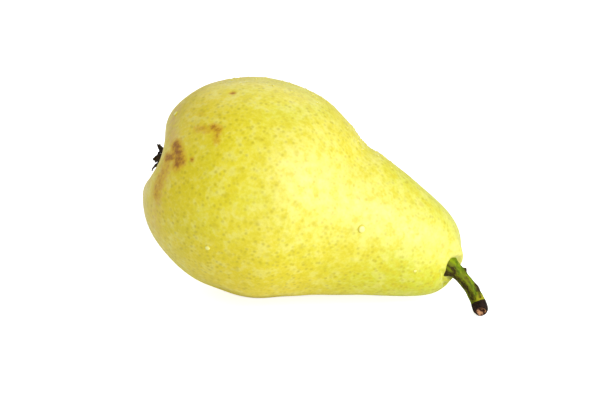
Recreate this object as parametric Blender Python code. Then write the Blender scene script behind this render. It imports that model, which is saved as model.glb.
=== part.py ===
"""A ripe pear lying on its side: the fleshy fruit, its woody stem and the dried calyx in its eye.

The fruit is drawn upright in its own frame, with +Z along the core from the rim of the calyx basin
to the stem end and angles counted about the core. It is then laid down so that the core dips
towards the stem. It rests on a small flat spot under the bulb and on the tip of its bent stem.
Lengths are in millimetres until a mesh is made. World frame: +X towards the stem, +Z up, with the
origin under the middle of the whole object at the surface that it lies on.
"""

import math

import bmesh
import bpy
import numpy as np
from mathutils import Matrix, Vector

MM = 0.001
SMALL_GAP = 0.3

# Fruit.
LENGTH = 99.2
RADIUS = 34.0
CORE_DIP = math.radians(18.9)
FLAT_DEPTH = 0.5
ROUND_SIDES = 48
FINEST_RING = 1.0
OUTLINE_SAMPLES = 2000
SLOPE_STEP = 0.05

# The outline from the calyx to the stem: height along the core as a share of LENGTH, and distance
# from the core as a share of RADIUS.
OUTLINE = (
    (0.040, 0.000),
    (0.037, 0.095),
    (0.021, 0.200),
    (0.008, 0.320),
    (0.019, 0.520),
    (0.056, 0.696),
    (0.130, 0.856),
    (0.225, 0.968),
    (0.345, 1.006),
    (0.442, 0.974),
    (0.525, 0.868),
    (0.605, 0.750),
    (0.710, 0.636),
    (0.825, 0.519),
    (0.905, 0.431),
    (0.955, 0.345),
    (0.986, 0.232),
    (0.998, 0.108),
    (0.999, 0.000),
)

# Calyx basin: it sits off the core, its rim leans and has two raised sides, and a furrow runs out
# over one of its low sides.
EYE_OFFSET = 1.1
EYE_SIDE = math.radians(155)
EYE_FADE_FROM = 4.0
EYE_FADE_TO = 16.0
RIM_LEAN = -0.010
RIM_LEAN_SIDE = math.radians(-25)
RIM_LEAN_FADE = 26.0
RIM_WAVES = 2
RIM_WAVE_DEPTH = 1.2
RIM_REACH = 10.0
RIM_SPREAD_IN = 5.0
RIM_SPREAD_OUT = 8.0
RIM_FADE_FROM = 10.0
RIM_FADE_TO = 40.0
FURROW_DEPTH = 2.1
FURROW_SIDE = math.radians(76)
FURROW_WIDTH = 5.0

# Neck: it bows a little to one side of the core.
NECK_BOW = 0.65
NECK_BOW_SIDE = math.radians(-25)
NECK_BOW_HEIGHT = 80.0
NECK_BOW_SPREAD = 15.0

# Stem end: the crown leans away from the stem, which leaves it off the core.
CROWN_LEAN = 0.23
CROWN_LEAN_SIDE = math.radians(228)
CROWN_START = 82.0
STEM_OFFSET = 5.6
STEM_SIDE = math.radians(90)

# Slow lumps of the flesh, which fade towards the core: (depth, waves round the core, waves along the
# core, start angle).
LUMP_FADE_FROM = 2.0
LUMP_FADE_TO = 20.0
LUMPS = (
    (0.30, 2, 0.0, math.radians(41)),
    (0.22, 3, 0.7, math.radians(100)),
    (0.16, 5, -1.1, math.radians(20)),
    (0.12, 4, 1.9, math.radians(200)),
)

# Stem.
STEM_RADIUS = 2.05
STEM_FLARE = 0.80
STEM_FLARE_LENGTH = 1.7
STEM_KNOB = 0.42
STEM_KNOB_FROM = 0.74
STEM_KNOB_TO = 0.90
STEM_END_ROUNDING = 0.16
STEM_END_FROM = 0.95
STEM_END_CROWN = 0.5
STEM_ROOT = 2.4
SOCKET_CLEARANCE_OUT = 5.4
STEM_REACH = Vector((9.5, -5.1, 0.0))
STEM_LEAVES = Vector((0.88, -0.10, -0.46))
STEM_ARRIVES = Vector((0.33, -0.86, -0.39))
STEM_PULL_OUT = 7.0
STEM_PULL_IN = 4.2
STEM_TIP_HEIGHT = 1.93
STEM_SIDES = 20
STEM_RINGS = 26
STEM_SAMPLES = 60

# Calyx: five dried sepals round a low tuft of dried stamens. Each sepal is its side of the eye, its
# height above the basin floor, how far out its tip curls, and the turn of its blade.
SEPALS = (
    (math.radians(155), 3.9, 5.4, math.radians(10)),
    (math.radians(227), 4.2, 4.4, math.radians(-14)),
    (math.radians(299), 4.6, 3.8, math.radians(8)),
    (math.radians(11), 4.8, 3.4, math.radians(-8)),
    (math.radians(83), 4.4, 3.9, math.radians(12)),
)
SEPAL_FOOT = 2.6
SEPAL_FOOT_RISE = 0.95
SEPAL_WIDTH = 2.5
SEPAL_TIP_WIDTH = 0.8
SEPAL_TAPER = 1.6
SEPAL_CUP = 0.9
SEPAL_THICKNESS = 0.45
SEPAL_ROWS = 9
SEPAL_COLUMNS = 5
TUFT_RADIUS = 1.7
TUFT_FOOT_RISE = 0.55
TUFT_HEIGHT = 1.3
TUFT_HOLLOW_RADIUS = 0.75
TUFT_FILAMENTS = 10
FILAMENT_LENGTH = 2.3
FILAMENT_TAPER = 0.09
FILAMENT_JOINTS = 3
FILAMENT_LEANS = (0.05, 0.25)


def smooth_curve(points):
    """Natural cubic spline through points, as a function of the distance run along its chords."""
    points = np.asarray(points, dtype=float)
    spans = np.linalg.norm(np.diff(points, axis=0), axis=1)
    knots = np.concatenate(([0.0], np.cumsum(spans)))
    count = len(points)
    system = np.eye(count)
    target = np.zeros_like(points)
    for i in range(1, count - 1):
        system[i, i - 1] = spans[i - 1]
        system[i, i] = 2.0 * (spans[i - 1] + spans[i])
        system[i, i + 1] = spans[i]
        slope_after = (points[i + 1] - points[i]) / spans[i]
        slope_before = (points[i] - points[i - 1]) / spans[i - 1]
        target[i] = 6.0 * (slope_after - slope_before)
    bend = np.linalg.solve(system, target)

    def at(distance):
        i = int(np.clip(np.searchsorted(knots, distance) - 1, 0, count - 2))
        span = spans[i]
        after = (distance - knots[i]) / span
        before = 1.0 - after
        curve = (before**3 - before) * bend[i] + (after**3 - after) * bend[i + 1]
        return before * points[i] + after * points[i + 1] + curve * span**2 / 6.0

    return at, knots


def fruit_outline():
    """The outline as a curve that crosses the core squarely at both ends, and its two limits."""
    half = [(height * LENGTH, share * RADIUS) for height, share in OUTLINE]
    mirrored_start = [(height, -reach) for height, reach in half[2:0:-1]]
    mirrored_end = [(height, -reach) for height, reach in half[-2:-4:-1]]
    at, knots = smooth_curve(mirrored_start + half + mirrored_end)
    return at, knots[len(mirrored_start)], knots[-1 - len(mirrored_end)]


OUTLINE_AT, OUTLINE_START, OUTLINE_END = fruit_outline()


def smooth_step(value, start, end):
    """0 up to start, 1 from end, and a smooth slope between; start may be the larger of the two."""
    share = min(max((value - start) / (end - start), 0.0), 1.0)
    return share * share * (3.0 - 2.0 * share)


def bell(value, width):
    """1 at zero, falling away evenly on both sides."""
    return math.exp(-((value / width) ** 2))


def skin(distance, angle):
    """Point of the skin in the fruit's own frame, at a distance along the outline."""
    height, reach = OUTLINE_AT(distance)
    ahead = OUTLINE_AT(distance + SLOPE_STEP) - OUTLINE_AT(distance - SLOPE_STEP)
    length = math.hypot(ahead[0], ahead[1])
    outward_height = -ahead[1] / length
    outward_reach = ahead[0] / length

    bulge = 0.0
    for depth, around, along, start in LUMPS:
        wave = math.cos(around * (angle - start) + along * math.tau * height / LENGTH)
        bulge += depth * wave * smooth_step(reach, LUMP_FADE_FROM, LUMP_FADE_TO)
    spread = RIM_SPREAD_OUT if reach > RIM_REACH else RIM_SPREAD_IN
    at_rim = bell(reach - RIM_REACH, spread) * smooth_step(height, RIM_FADE_TO, RIM_FADE_FROM)
    bulge -= RIM_WAVE_DEPTH * math.cos(RIM_WAVES * (angle - FURROW_SIDE)) * at_rim
    turn = math.remainder(angle - FURROW_SIDE, math.tau)
    bulge -= FURROW_DEPTH * bell(turn * reach, FURROW_WIDTH) * at_rim
    height += bulge * outward_height
    reach += bulge * outward_reach

    x = reach * math.cos(angle)
    y = reach * math.sin(angle)
    near_base = smooth_step(height, RIM_LEAN_FADE, 0.0)
    height -= RIM_LEAN * (x * math.cos(RIM_LEAN_SIDE) + y * math.sin(RIM_LEAN_SIDE)) * near_base
    crown = smooth_step(height, CROWN_START, LENGTH)
    height += CROWN_LEAN * (x * math.cos(CROWN_LEAN_SIDE) + y * math.sin(CROWN_LEAN_SIDE)) * crown
    eye = smooth_step(reach, EYE_FADE_TO, EYE_FADE_FROM) * near_base
    x += EYE_OFFSET * math.cos(EYE_SIDE) * eye
    y += EYE_OFFSET * math.sin(EYE_SIDE) * eye
    bow = NECK_BOW * bell(height - NECK_BOW_HEIGHT, NECK_BOW_SPREAD)
    x += bow * math.cos(NECK_BOW_SIDE)
    y += bow * math.sin(NECK_BOW_SIDE)
    return Vector((x, y, height))


def ring_distances():
    """Distances of the rings along the outline, spaced so that the skin's faces are near square."""
    samples = np.linspace(OUTLINE_START, OUTLINE_END, OUTLINE_SAMPLES)
    reaches = np.array([OUTLINE_AT(sample)[1] for sample in samples])
    spacing = np.maximum(reaches * math.tau / ROUND_SIDES, FINEST_RING)
    rings = np.concatenate(([0.0], np.cumsum(np.diff(samples) / spacing[1:])))
    return np.interp(np.arange(1, int(rings[-1])), rings, samples)


# The lying pose: the columns are the fruit's own X, Y and Z in the world.
LAID_DOWN = Matrix(
    (
        (math.sin(CORE_DIP), 0.0, math.cos(CORE_DIP)),
        (0.0, -1.0, 0.0),
        (math.cos(CORE_DIP), 0.0, -math.sin(CORE_DIP)),
    )
)


def make_material(name, color, roughness):
    """A plain Principled material."""
    material = bpy.data.materials.new(name)
    material.use_nodes = True
    shader = material.node_tree.nodes["Principled BSDF"]
    shader.inputs["Base Color"].default_value = (*color, 1.0)
    shader.inputs["Roughness"].default_value = roughness
    shader.inputs["Metallic"].default_value = 0.0
    return material


def add_object(name, shape, material):
    """Turn a bmesh in millimetres into a smooth-shaded object in metres."""
    bmesh.ops.recalc_face_normals(shape, faces=shape.faces)
    bmesh.ops.scale(shape, vec=(MM, MM, MM), verts=shape.verts)
    mesh = bpy.data.meshes.new(name)
    shape.to_mesh(mesh)
    shape.free()
    mesh.materials.append(material)
    mesh.shade_smooth()
    mesh.set_sharp_from_angle(angle=math.radians(40))
    obj = bpy.data.objects.new(name, mesh)
    bpy.context.scene.collection.objects.link(obj)
    return obj


def join_rings(shape, rings, start, end):
    """Skin rings of vertices into a closed body with a vertex at each end."""
    sides = len(rings[0])
    for side in range(sides):
        after = (side + 1) % sides
        shape.faces.new((start, rings[0][after], rings[0][side]))
        shape.faces.new((end, rings[-1][side], rings[-1][after]))
        for lower, upper in zip(rings, rings[1:]):
            shape.faces.new((lower[side], lower[after], upper[after], upper[side]))


def fruit_shape():
    """The laid-down fruit before its stem socket, with the surface that it lies on at z = 0."""
    shape = bmesh.new()
    start = shape.verts.new(LAID_DOWN @ skin(OUTLINE_START, 0.0))
    end = shape.verts.new(LAID_DOWN @ skin(OUTLINE_END, 0.0))
    rings = []
    for distance in ring_distances():
        ring = []
        for side in range(ROUND_SIDES):
            ring.append(shape.verts.new(LAID_DOWN @ skin(distance, math.tau * side / ROUND_SIDES)))
        rings.append(ring)
    join_rings(shape, rings, start, end)

    lowest = min(vertex.co.z for vertex in shape.verts)
    lift = Vector((0.0, 0.0, -lowest - FLAT_DEPTH))
    bmesh.ops.translate(shape, vec=lift, verts=shape.verts)
    cut = bmesh.ops.bisect_plane(
        shape,
        geom=shape.verts[:] + shape.edges[:] + shape.faces[:],
        dist=1e-5,
        plane_co=(0.0, 0.0, 0.0),
        plane_no=(0.0, 0.0, -1.0),
        clear_outer=True,
    )
    edge = [item for item in cut["geom_cut"] if isinstance(item, bmesh.types.BMEdge)]
    bmesh.ops.contextual_create(shape, geom=edge)
    return shape, lift


def distance_at_reach(reach):
    """Distance along the outline of the last sample, counted from the calyx, with this reach."""
    samples = np.linspace(OUTLINE_START, OUTLINE_END, OUTLINE_SAMPLES)
    reaches = np.array([OUTLINE_AT(sample)[1] for sample in samples])
    return samples[reaches >= reach][-1]


class StemPath:
    """Centre line of the stem: a cubic Bezier curve from the crown down to the resting tip."""

    def __init__(self, lift):
        self.foot = LAID_DOWN @ skin(distance_at_reach(STEM_OFFSET), STEM_SIDE) + lift
        tip = self.foot + STEM_REACH
        tip.z = STEM_TIP_HEIGHT
        self.leaves = STEM_LEAVES.normalized()
        self.arrives = STEM_ARRIVES.normalized()
        after_foot = self.foot + self.leaves * STEM_PULL_OUT
        before_tip = tip - self.arrives * STEM_PULL_IN
        self.handles = (self.foot, after_foot, before_tip, tip)

    def point(self, share):
        a, b, c, d = self.handles
        rest = 1.0 - share
        return a * rest**3 + b * (3 * share * rest**2) + c * (3 * share**2 * rest) + d * share**3

    def heading(self, share):
        a, b, c, d = self.handles
        rest = 1.0 - share
        slope = (b - a) * rest**2 + (c - b) * (2 * share * rest) + (d - c) * share**2
        return slope.normalized()


def circle_points(centre, heading, across, radius, sides):
    """Points of a circle square to heading, counted from the direction of across."""
    first = (across - heading * across.dot(heading)).normalized()
    second = heading.cross(first)
    points = []
    for side in range(sides):
        angle = math.tau * side / sides
        points.append(centre + (first * math.cos(angle) + second * math.sin(angle)) * radius)
    return points


def stem_shape(path):
    """The stem: a root inside the crown, a flared foot, a bent shaft and a blunt knob."""
    run = [path.point(i / STEM_SAMPLES) for i in range(STEM_SAMPLES + 1)]
    length = sum((b - a).length for a, b in zip(run, run[1:]))
    across = Vector((0.0, 0.0, 1.0))
    root_radius = STEM_RADIUS + STEM_FLARE
    sections = []
    for depth, share in ((1.0, 0.80), (0.9, 1.0), (0.4, 1.0)):
        centre = path.foot - path.leaves * STEM_ROOT * depth
        sections.append((centre, path.leaves, root_radius * share))
    for ring in range(STEM_RINGS):
        share = ring / (STEM_RINGS - 1)
        radius = STEM_RADIUS + STEM_FLARE * math.exp(-share * length / STEM_FLARE_LENGTH)
        radius += STEM_KNOB * smooth_step(share, STEM_KNOB_FROM, STEM_KNOB_TO)
        radius *= 1.0 - STEM_END_ROUNDING * smooth_step(share, STEM_END_FROM, 1.0)
        sections.append((path.point(share), path.heading(share), radius))

    shape = bmesh.new()
    rings = []
    for centre, heading, radius in sections:
        points = circle_points(centre, heading, across, radius, STEM_SIDES)
        rings.append([shape.verts.new(point) for point in points])
    start = shape.verts.new(sections[0][0])
    end = shape.verts.new(sections[-1][0] + sections[-1][1] * STEM_END_CROWN)
    join_rings(shape, rings, start, end)
    return shape


def socket_shape(path):
    """Cutter for the stem's socket in the crown, one gap larger than the stem's root."""
    radius = STEM_RADIUS + STEM_FLARE + SMALL_GAP
    across = Vector((0.0, 0.0, 1.0))
    shape = bmesh.new()
    rings = []
    for along in (-STEM_ROOT - SMALL_GAP, SOCKET_CLEARANCE_OUT):
        centre = path.foot + path.leaves * along
        points = circle_points(centre, path.leaves, across, radius, STEM_SIDES)
        rings.append([shape.verts.new(point) for point in points])
    sides = len(rings[0])
    for side in range(sides):
        after = (side + 1) % sides
        shape.faces.new((rings[0][side], rings[0][after], rings[1][after], rings[1][side]))
    shape.faces.new(list(reversed(rings[0])))
    shape.faces.new(rings[1])
    return shape


def eye_frame(lift):
    """Frame of the calyx in the world: origin on the basin floor, +Z out of the basin."""
    floor = LAID_DOWN @ skin(OUTLINE_START, 0.0) + lift
    turned = LAID_DOWN @ Matrix(((1.0, 0.0, 0.0), (0.0, -1.0, 0.0), (0.0, 0.0, -1.0)))
    return Matrix.Translation(floor) @ turned.to_4x4()


def sepal_shape(frame, side, height, curl, turn):
    """One dried sepal: a cupped blade that stands on the basin floor and curls out at its tip."""
    spine, knots = smooth_curve(
        (
            (SEPAL_FOOT, SEPAL_FOOT_RISE),
            (SEPAL_FOOT + 0.15, height * 0.45),
            (SEPAL_FOOT * 0.45 + curl * 0.5, height * 0.85),
            (curl, height),
        )
    )
    shape = bmesh.new()
    grid = []
    for row in range(SEPAL_ROWS):
        share = row / (SEPAL_ROWS - 1)
        reach, rise = spine(share * knots[-1])
        width = SEPAL_WIDTH + (SEPAL_TIP_WIDTH - SEPAL_WIDTH) * share**SEPAL_TAPER
        line = []
        for column in range(SEPAL_COLUMNS):
            across = column / (SEPAL_COLUMNS - 1) - 0.5
            cup = SEPAL_CUP * across**2 * width
            sideways = across * width
            angle = side + turn * share
            x = (reach - cup) * math.cos(angle) - sideways * math.sin(angle)
            y = (reach - cup) * math.sin(angle) + sideways * math.cos(angle)
            line.append(shape.verts.new(frame @ Vector((x, -y, rise))))
        grid.append(line)
    for lower, upper in zip(grid, grid[1:]):
        for column in range(SEPAL_COLUMNS - 1):
            corners = (lower[column], lower[column + 1], upper[column + 1], upper[column])
            shape.faces.new(corners)
    return shape


def tuft_shape(frame):
    """The dried stamens: short filaments that rise from a low button on the basin floor."""
    shape = bmesh.new()
    rings = []
    profile = (
        (TUFT_RADIUS, TUFT_FOOT_RISE),
        (TUFT_RADIUS, TUFT_HEIGHT),
        (TUFT_HOLLOW_RADIUS, TUFT_HEIGHT),
    )
    for radius, rise in profile:
        ring = []
        for side in range(2 * TUFT_FILAMENTS):
            angle = math.tau * side / (2 * TUFT_FILAMENTS)
            point = Vector((radius * math.cos(angle), radius * math.sin(angle), rise))
            ring.append(shape.verts.new(frame @ point))
        rings.append(ring)
    start = shape.verts.new(frame @ Vector((0.0, 0.0, TUFT_FOOT_RISE)))
    end = shape.verts.new(frame @ Vector((0.0, 0.0, TUFT_HEIGHT)))
    join_rings(shape, rings, start, end)
    bmesh.ops.recalc_face_normals(shape, faces=shape.faces)
    out_of_basin = (frame.to_3x3() @ Vector((0.0, 0.0, 1.0))).normalized()
    shape.faces.ensure_lookup_table()
    tops = []
    for face in shape.faces:
        if len(face.verts) == 4 and face.normal.dot(out_of_basin) > 0.9:
            tops.append(face)
    button = frame @ Vector((0.0, 0.0, TUFT_HEIGHT))
    for number, face in enumerate(tops[::2]):
        bmesh.ops.inset_individual(shape, faces=[face], thickness=FILAMENT_TAPER)
        outward = (face.calc_center_median() - button).normalized()
        lean = FILAMENT_LEANS[number % 2]
        for joint in range(FILAMENT_JOINTS):
            grown = bmesh.ops.extrude_discrete_faces(shape, faces=[face])
            face = grown["faces"][0]
            move = out_of_basin * FILAMENT_LENGTH / FILAMENT_JOINTS + outward * lean * (joint - 0.5)
            bmesh.ops.translate(shape, vec=move, verts=face.verts[:])
    return shape


def middle_of(objects):
    """Point of the lying surface under the middle of the objects' common box."""
    bpy.context.view_layer.update()
    graph = bpy.context.evaluated_depsgraph_get()
    corners = []
    for obj in objects:
        mesh = obj.evaluated_get(graph).data
        corners += [obj.matrix_world @ vertex.co for vertex in mesh.vertices]
    low = np.min(corners, axis=0)
    high = np.max(corners, axis=0)
    return Vector((0.5 * (low[0] + high[0]), 0.5 * (low[1] + high[1]), 0.0))


def main():
    for obj in list(bpy.data.objects):
        bpy.data.objects.remove(obj, do_unlink=True)

    flesh = make_material("pear_skin", (0.78, 0.66, 0.10), 0.42)
    bark = make_material("stem_bark", (0.15, 0.17, 0.02), 0.72)
    dried = make_material("dried_calyx", (0.035, 0.022, 0.014), 0.85)

    shape, lift = fruit_shape()
    path = StemPath(lift)
    fruit = add_object("fruit", shape, flesh)
    stem = add_object("stem", stem_shape(path), bark)

    cutter = add_object("stem_socket_cutter", socket_shape(path), bark)
    cutter.display_type = "WIRE"
    cutter.hide_render = True
    socket = fruit.modifiers.new("stem_socket", "BOOLEAN")
    socket.operation = "DIFFERENCE"
    socket.solver = "EXACT"
    socket.object = cutter

    frame = eye_frame(lift)
    calyx = []
    for number, (side, height, curl, turn) in enumerate(SEPALS, start=1):
        sepal = add_object(f"sepal_{number}", sepal_shape(frame, side, height, curl, turn), dried)
        thicken = sepal.modifiers.new("thickness", "SOLIDIFY")
        thicken.thickness = SEPAL_THICKNESS * MM
        thicken.offset = 0.0
        calyx.append(sepal)
    calyx.append(add_object("stamens", tuft_shape(frame), dried))

    pieces = [fruit, stem] + calyx
    shift = middle_of(pieces)
    for obj in pieces + [cutter]:
        obj.location -= shift


main()
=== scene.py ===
"""Looks of a ripe pear that lies on its side: fine skin, woody stem, dried calyx and drops of water.

The fruit is drawn as in the CAD: upright in its own frame, in millimetres, with +Z along the core from
the calyx to the stem and angles counted about the core. It is then laid down and set into the box of
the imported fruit. A place on the skin is given by its height along the core and its side of the core.
"""

import math

import bpy
import numpy as np
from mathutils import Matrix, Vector, noise


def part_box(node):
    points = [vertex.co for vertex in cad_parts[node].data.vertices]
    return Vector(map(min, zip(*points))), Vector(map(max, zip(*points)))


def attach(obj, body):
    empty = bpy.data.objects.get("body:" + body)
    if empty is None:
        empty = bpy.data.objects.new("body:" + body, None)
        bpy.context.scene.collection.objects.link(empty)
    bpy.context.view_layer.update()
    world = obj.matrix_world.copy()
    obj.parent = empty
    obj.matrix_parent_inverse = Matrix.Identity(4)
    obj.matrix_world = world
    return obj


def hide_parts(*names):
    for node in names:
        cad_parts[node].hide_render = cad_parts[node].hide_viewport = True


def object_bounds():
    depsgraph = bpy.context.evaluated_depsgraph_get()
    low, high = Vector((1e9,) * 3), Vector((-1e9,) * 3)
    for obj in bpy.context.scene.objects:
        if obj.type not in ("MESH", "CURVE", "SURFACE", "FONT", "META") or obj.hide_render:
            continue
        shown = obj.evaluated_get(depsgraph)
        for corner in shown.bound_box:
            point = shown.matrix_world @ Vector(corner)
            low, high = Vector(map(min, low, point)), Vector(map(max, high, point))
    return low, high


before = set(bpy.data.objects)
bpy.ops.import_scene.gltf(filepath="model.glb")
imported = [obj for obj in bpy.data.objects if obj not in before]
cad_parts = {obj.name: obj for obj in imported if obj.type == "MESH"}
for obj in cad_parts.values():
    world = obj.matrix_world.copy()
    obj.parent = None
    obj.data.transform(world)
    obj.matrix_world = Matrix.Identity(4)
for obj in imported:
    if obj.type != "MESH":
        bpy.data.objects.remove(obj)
CAD_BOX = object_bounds()

MM = 0.001

# ------------------------------------------------------------
# The fruit's shape, as in the CAD
# ------------------------------------------------------------

LENGTH = 99.2
RADIUS = 34.0
CORE_DIP = math.radians(18.9)

# The outline from the calyx to the stem: height along the core as a share of LENGTH, and distance
# from the core as a share of RADIUS.
OUTLINE = (
    (0.040, 0.000),
    (0.037, 0.095),
    (0.021, 0.200),
    (0.008, 0.320),
    (0.019, 0.520),
    (0.056, 0.696),
    (0.130, 0.856),
    (0.225, 0.968),
    (0.345, 1.006),
    (0.442, 0.974),
    (0.525, 0.868),
    (0.605, 0.750),
    (0.710, 0.636),
    (0.825, 0.519),
    (0.905, 0.431),
    (0.955, 0.345),
    (0.986, 0.232),
    (0.998, 0.108),
    (0.999, 0.000),
)
SLOPE_STEP = 0.05

EYE_OFFSET = 1.1
EYE_SIDE = math.radians(155)
EYE_FADE_FROM = 4.0
EYE_FADE_TO = 16.0
RIM_LEAN = -0.010
RIM_LEAN_SIDE = math.radians(-25)
RIM_LEAN_FADE = 26.0
RIM_WAVES = 2
RIM_WAVE_DEPTH = 1.2
RIM_REACH = 10.0
RIM_SPREAD_IN = 5.0
RIM_SPREAD_OUT = 8.0
RIM_FADE_FROM = 10.0
RIM_FADE_TO = 40.0
FURROW_DEPTH = 2.1
FURROW_SIDE = math.radians(76)
FURROW_WIDTH = 5.0

NECK_BOW = 0.65
NECK_BOW_SIDE = math.radians(-25)
NECK_BOW_HEIGHT = 80.0
NECK_BOW_SPREAD = 15.0

CROWN_LEAN = 0.23
CROWN_LEAN_SIDE = math.radians(228)
CROWN_START = 82.0
STEM_OFFSET = 5.6
STEM_SIDE = math.radians(90)

LUMP_FADE_FROM = 2.0
LUMP_FADE_TO = 20.0
LUMPS = (
    (0.30, 2, 0.0, math.radians(41)),
    (0.22, 3, 0.7, math.radians(100)),
    (0.16, 5, -1.1, math.radians(20)),
    (0.12, 4, 1.9, math.radians(200)),
)

# The lying pose: the columns are the fruit's own X, Y and Z in the world.
LAID_DOWN = np.array(
    (
        (math.sin(CORE_DIP), 0.0, math.cos(CORE_DIP)),
        (0.0, -1.0, 0.0),
        (math.cos(CORE_DIP), 0.0, -math.sin(CORE_DIP)),
    )
)


def smooth_curve(points):
    """Natural cubic spline through points, as a function of the distances run along its chords."""
    points = np.asarray(points, dtype=float)
    spans = np.linalg.norm(np.diff(points, axis=0), axis=1)
    knots = np.concatenate(([0.0], np.cumsum(spans)))
    count = len(points)
    system = np.eye(count)
    target = np.zeros_like(points)
    for i in range(1, count - 1):
        system[i, i - 1] = spans[i - 1]
        system[i, i] = 2.0 * (spans[i - 1] + spans[i])
        system[i, i + 1] = spans[i]
        slope_after = (points[i + 1] - points[i]) / spans[i]
        slope_before = (points[i] - points[i - 1]) / spans[i - 1]
        target[i] = 6.0 * (slope_after - slope_before)
    bend = np.linalg.solve(system, target)

    def at(distances):
        distances = np.asarray(distances, dtype=float)
        i = np.clip(np.searchsorted(knots, distances) - 1, 0, count - 2)
        span = spans[i][..., None]
        after = (distances - knots[i])[..., None] / span
        before = 1.0 - after
        curve = (before**3 - before) * bend[i] + (after**3 - after) * bend[i + 1]
        return before * points[i] + after * points[i + 1] + curve * span**2 / 6.0

    return at, knots


def fruit_outline():
    """The outline as a curve that crosses the core squarely at both ends, and its two limits."""
    half = [(height * LENGTH, share * RADIUS) for height, share in OUTLINE]
    mirrored_start = [(height, -reach) for height, reach in half[2:0:-1]]
    mirrored_end = [(height, -reach) for height, reach in half[-2:-4:-1]]
    at, knots = smooth_curve(mirrored_start + half + mirrored_end)
    return at, knots[len(mirrored_start)], knots[-1 - len(mirrored_end)]


OUTLINE_AT, OUTLINE_START, OUTLINE_END = fruit_outline()


def smooth_step(value, start, end):
    """0 up to start, 1 from end, and a smooth slope between; start may be the larger of the two."""
    share = np.clip((value - start) / (end - start), 0.0, 1.0)
    return share * share * (3.0 - 2.0 * share)


def bell(value, width):
    """1 at zero, falling away evenly on both sides."""
    return np.exp(-((value / width) ** 2))


def turn_from(angle, start):
    """Signed angle from start, between minus and plus half a turn."""
    return np.mod(angle - start + math.pi, math.tau) - math.pi


def skin(distance, angle):
    """Points of the skin in the fruit's own frame, at distances along the outline."""
    height, reach = np.moveaxis(OUTLINE_AT(distance), -1, 0)
    ahead = OUTLINE_AT(distance + SLOPE_STEP) - OUTLINE_AT(distance - SLOPE_STEP)
    ahead /= np.linalg.norm(ahead, axis=-1, keepdims=True)
    outward_height = -ahead[..., 1]
    outward_reach = ahead[..., 0]

    bulge = 0.0
    for depth, around, along, start in LUMPS:
        wave = np.cos(around * (angle - start) + along * math.tau * height / LENGTH)
        bulge = bulge + depth * wave * smooth_step(reach, LUMP_FADE_FROM, LUMP_FADE_TO)
    spread = np.where(reach > RIM_REACH, RIM_SPREAD_OUT, RIM_SPREAD_IN)
    at_rim = bell(reach - RIM_REACH, spread) * smooth_step(height, RIM_FADE_TO, RIM_FADE_FROM)
    bulge = bulge - RIM_WAVE_DEPTH * np.cos(RIM_WAVES * (angle - FURROW_SIDE)) * at_rim
    turn = turn_from(angle, FURROW_SIDE)
    bulge = bulge - FURROW_DEPTH * bell(turn * reach, FURROW_WIDTH) * at_rim
    height = height + bulge * outward_height
    reach = reach + bulge * outward_reach

    x = reach * np.cos(angle)
    y = reach * np.sin(angle)
    near_base = smooth_step(height, RIM_LEAN_FADE, 0.0)
    towards = x * math.cos(RIM_LEAN_SIDE) + y * math.sin(RIM_LEAN_SIDE)
    height = height - RIM_LEAN * towards * near_base
    crown = smooth_step(height, CROWN_START, LENGTH)
    towards = x * math.cos(CROWN_LEAN_SIDE) + y * math.sin(CROWN_LEAN_SIDE)
    height = height + CROWN_LEAN * towards * crown
    eye = smooth_step(reach, EYE_FADE_TO, EYE_FADE_FROM) * near_base
    x = x + EYE_OFFSET * math.cos(EYE_SIDE) * eye
    y = y + EYE_OFFSET * math.sin(EYE_SIDE) * eye
    bow = NECK_BOW * bell(height - NECK_BOW_HEIGHT, NECK_BOW_SPREAD)
    x = x + bow * math.cos(NECK_BOW_SIDE)
    y = y + bow * math.sin(NECK_BOW_SIDE)
    return np.stack((x, y, height), axis=-1)


def grid_normals(points):
    """Unit normals of a grid of points whose columns close round."""
    along = np.gradient(points, axis=0)
    around = np.roll(points, -1, axis=1) - np.roll(points, 1, axis=1)
    normals = np.cross(around, along)
    return normals / np.maximum(np.linalg.norm(normals, axis=-1, keepdims=True), 1e-12)


def noise_at(points, size):
    """Smooth noise of about -1 to 1 at points, with features of the given size."""
    flat = points.reshape(-1, 3) / size
    values = [noise.noise(Vector(point)) for point in flat]
    return np.array(values).reshape(points.shape[:-1])


# ------------------------------------------------------------
# Fine skin, set into the box of the CAD's fruit
# ------------------------------------------------------------

SKIN_SIDES = 320
SKIN_RINGS = 300

# Unevenness of the flesh: (size, depth).
UNEVENNESS = ((15.0, 0.20), (6.5, 0.07), (2.6, 0.022))

# Puckers of the calyx basin, which fade out up the fruit and wander to the sides.
PUCKERS = 11
PUCKER_DEPTH = 0.32
PUCKER_REACH = 6.0
PUCKER_SPREAD = 3.0
PUCKER_FADE_FROM = 10.0
PUCKER_FADE_TO = 30.0
PUCKER_WANDER = 0.35
PUCKER_WANDER_SIZE = 9.0

# Crown: a lip of flesh stands round the stem's foot, with a lobe on one side of it and a crease
# inside it. A fold runs down from the crease: places are heights and sides of the core in degrees.
LIP_DISTANCE = 4.2
LIP_WIDTH = 1.3
LIP_HEIGHT = 0.60
LOBE_DISTANCE = 5.0
LOBE_HEIGHT = 1.45
LOBE_WIDTH = 2.7
LOBE_TOWARDS = np.array((0.0, 0.62, 0.78))
LOBE_FROM = 0.2
LOBE_TO = 0.95
CREASE_DISTANCE = 3.1
CREASE_WIDTH = 0.7
CREASE_DEPTH = 0.50
FOLD_PLACES = ((94.8, 93), (96.4, 113), (98.2, 150))
FOLD_WIDTH = 1.6
FOLD_DEPTH = 0.90

# Flatter stretches of the flesh: a line of places, each a height and a side of the core in
# degrees, then its width and depth.
HOLLOWS = (
    (((58.0, -42), (59.5, -20), (59.5, 4), (58.0, 26)), 7.0, 0.85),
    (((13.0, -10), (27.0, -12)), 9.0, 0.55),
    (((33.0, 150), (49.0, 150)), 9.0, 0.95),
)

FLAT_SOFTNESS = 0.15

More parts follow.
